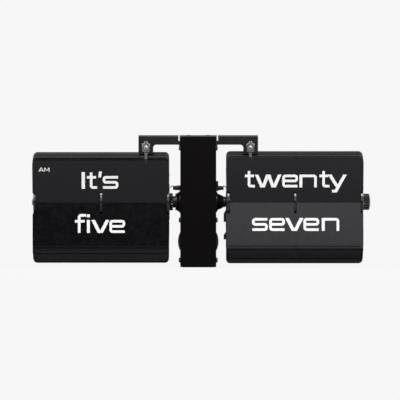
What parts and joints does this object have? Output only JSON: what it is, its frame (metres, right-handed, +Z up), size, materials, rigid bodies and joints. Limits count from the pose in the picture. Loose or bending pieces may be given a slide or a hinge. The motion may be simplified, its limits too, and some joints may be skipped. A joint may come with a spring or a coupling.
{
  "type": "flip clock",
  "caption": "Split-flap clock: a black steel column between an hour drum and a minute drum of hinged flaps, held by spring claws, driven by a hidden gear train and one cell.",
  "frame": {"origin": "on the standing plane under the column, below the common axis of both drums", "axes": "+X to the viewer's right along the drums, +Y to the rear, +Z up; the face looks along -Y"},
  "size_m": [0.36, 0.0888, 0.1397],
  "materials": {
    "black_steel": "semi-gloss black powder coat",
    "black_plastic": "satin black moulded plastic",
    "flap_plastic": "satin black sheet with white print on the faces",
    "disc_plastic": "satin black moulded plastic",
    "bright_steel": "bright zinc plated",
    "dark_steel": "black oxide",
    "spring_steel": "bright spring strip",
    "gear_plastic": "natural acetal",
    "rubber": "matt",
    "board": "green board with black parts",
    "motor_can": "drawn can",
    "cell_jacket": "plain sleeve, density of a whole cell"
  },
  "bodies": {
    "frame": {"column_cover": "black_steel", "top_bracket": "black_steel", "case_left": "black_plastic", "case_right": "black_plastic", "base_pad": "rubber", "wall_hanger": "bright_steel", "minute_claw": "spring_steel", "hour_claw": "spring_steel", "hour_bearing": "black_plastic", "minute_bearing": "black_plastic", "minute_click_post": "black_plastic", "hour_click_post": "black_plastic", "minute_click_wire": "spring_steel", "hour_click_wire": "spring_steel", "flap_guide": "dark_steel", "layshaft_axle": "bright_steel", "gear_plate": "black_plastic", "motor": "motor_can", "circuit_board": "board", "positive_contact": "spring_steel", "minute_flaps_upper": "flap_plastic", "minute_flaps_rear": "flap_plastic", "minute_flaps_hanging": "flap_plastic", "minute_flap_lower": "flap_plastic", "hour_flaps_upper": "flap_plastic", "hour_flaps_rear": "flap_plastic", "hour_flaps_hanging": "flap_plastic", "hour_flap_lower": "flap_plastic"},
    "minute_drum": {"minute_spindle": "bright_steel", "minute_discs": "disc_plastic", "minute_knob": "black_plastic", "minute_pinion": "gear_plastic"},
    "hour_drum": {"hour_spindle": "bright_steel", "hour_discs": "disc_plastic", "hour_knob": "black_plastic", "hour_wheel": "gear_plastic"},
    "layshaft": {"cluster_gear": "gear_plastic"},
    "motor_output": {"motor_pinion": "gear_plastic"},
    "minute_top_flap": {"minute_flap": "flap_plastic"},
    "hour_top_flap": {"hour_flap": "flap_plastic"},
    "cell": {"battery_cell": "cell_jacket"},
    "cap": {"battery_cap": "black_plastic", "cap_contact": "spring_steel"}
  },
  "joints": [
    {"name": "minute_turn", "type": "hinge", "parent": "frame", "child": "minute_drum", "pos_m": [0, 0, 0.0693], "axis": [1, 0, 0], "continuous": true},
    {"name": "hour_turn", "type": "hinge", "parent": "frame", "child": "hour_drum", "pos_m": [0, 0, 0.0693], "axis": [1, 0, 0], "continuous": true},
    {"name": "layshaft_turn", "type": "hinge", "parent": "frame", "child": "layshaft", "pos_m": [0, 0.0085, 0.08402], "axis": [1, 0, 0], "continuous": true},
    {"name": "motor_turn", "type": "hinge", "parent": "frame", "child": "motor_output", "pos_m": [0, 0.02447, 0.08984], "axis": [1, 0, 0], "continuous": true},
    {"name": "minute_flap_fall", "type": "hinge", "parent": "frame", "child": "minute_top_flap", "pos_m": [0, -0.0184, 0.06962], "axis": [1, 0, 0], "range_deg": [0, 160], "deforming": ["minute_claw"]},
    {"name": "hour_flap_fall", "type": "hinge", "parent": "frame", "child": "hour_top_flap", "pos_m": [0, -0.01839, 0.06882], "axis": [1, 0, 0], "range_deg": [0, 160], "deforming": ["hour_claw"]},
    {"name": "cell_slide", "type": "slide", "parent": "frame", "child": "cell", "axis": [0, 1, 0], "range_m": [0, 0.07]},
    {"name": "cap_slide", "type": "slide", "parent": "frame", "child": "cap", "axis": [0, 1, 0], "range_m": [0, 0.0875]}
  ],
  "couplings": [
    {"joint": "hour_turn", "follows": "minute_turn", "ratio": 0.041667},
    {"joint": "layshaft_turn", "follows": "minute_turn", "ratio": -0.25},
    {"joint": "motor_turn", "follows": "minute_turn", "ratio": 1},
    {"joint": "cap_slide", "follows": "cell_slide", "ratio": 1.25}
  ]
}
